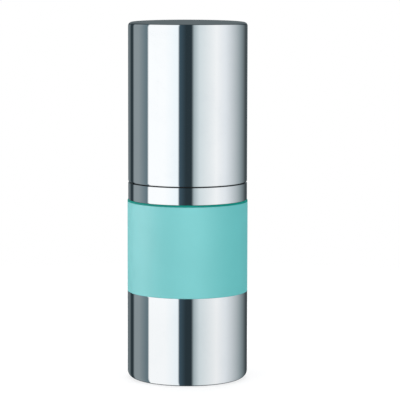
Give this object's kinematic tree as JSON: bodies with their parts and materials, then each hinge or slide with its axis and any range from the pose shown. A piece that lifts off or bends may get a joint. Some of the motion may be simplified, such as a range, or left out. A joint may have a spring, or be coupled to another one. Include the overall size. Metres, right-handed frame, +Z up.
{
  "type": "airless pump bottle",
  "caption": "Upright round cosmetic pump bottle with a lift-off bright cap over a press-and-swivel button, a frosted colour band, a bright base and a rising inner follower piston.",
  "frame": {"origin": "centre of the foot's flat resting ring", "axes": "+Z up along the bottle's axis, -Y towards the front, where the nozzle points, +X to the right seen from the front"},
  "size_m": [0.036, 0.036, 0.1069],
  "materials": {
    "bright_metal": "mirror polished",
    "frosted_teal": "frosted",
    "white_moulding": "satin",
    "dark_moulding": "satin",
    "natural_moulding": "satin",
    "soft_moulding": "matte",
    "gasket_foam": "matte",
    "spring_steel": "drawn wire",
    "nozzle_plastic": "gloss"
  },
  "bodies": {
    "container": {"base_shell": "bright_metal", "base_insert": "white_moulding", "colour_sleeve": "frosted_teal", "inner_bottle": "natural_moulding", "neck_gasket": "gasket_foam", "pump_housing": "natural_moulding", "pump_closure": "white_moulding", "pump_ferrule": "white_moulding", "shoulder_insert": "white_moulding", "collar_shell": "bright_metal", "return_spring": "spring_steel"},
    "cap": {"cap_shell": "bright_metal", "cap_liner": "dark_moulding"},
    "stem": {"pump_stem": "white_moulding", "outlet_valve_pin": "white_moulding"},
    "button": {"actuator_shell": "bright_metal", "actuator_core": "white_moulding", "nozzle_insert": "nozzle_plastic"},
    "piston": {"pump_piston": "soft_moulding"},
    "follower": {"follower_piston": "soft_moulding"},
    "inlet_poppet": {"inlet_valve": "soft_moulding"}
  },
  "joints": [
    {"name": "cap_lift", "type": "slide", "parent": "container", "child": "cap", "axis": [0, 0, 1], "range_m": [0, 0.045]},
    {"name": "button_press", "type": "slide", "parent": "container", "child": "stem", "axis": [0, 0, -1], "range_m": [0, 0.0045], "stiffness_N_per_m": 1200, "springref_m": -0.005, "deforming": ["return_spring"]},
    {"name": "button_swivel", "type": "hinge", "parent": "stem", "child": "button", "pos_m": [0, 0, 0.0846], "axis": [0, 0, 1], "continuous": true},
    {"name": "piston_slide", "type": "slide", "parent": "container", "child": "piston", "axis": [0, 0, -1], "range_m": [0, 0.004]},
    {"name": "follower_rise", "type": "slide", "parent": "container", "child": "follower", "axis": [0, 0, 1], "range_m": [0, 0.0416]},
    {"name": "inlet_lift", "type": "slide", "parent": "container", "child": "inlet_poppet", "axis": [0, 0, 1], "range_m": [0, 0.0008]}
  ],
  "couplings": [
    {"joint": "piston_slide", "follows": "button_press", "ratio": 0.88}
  ]
}
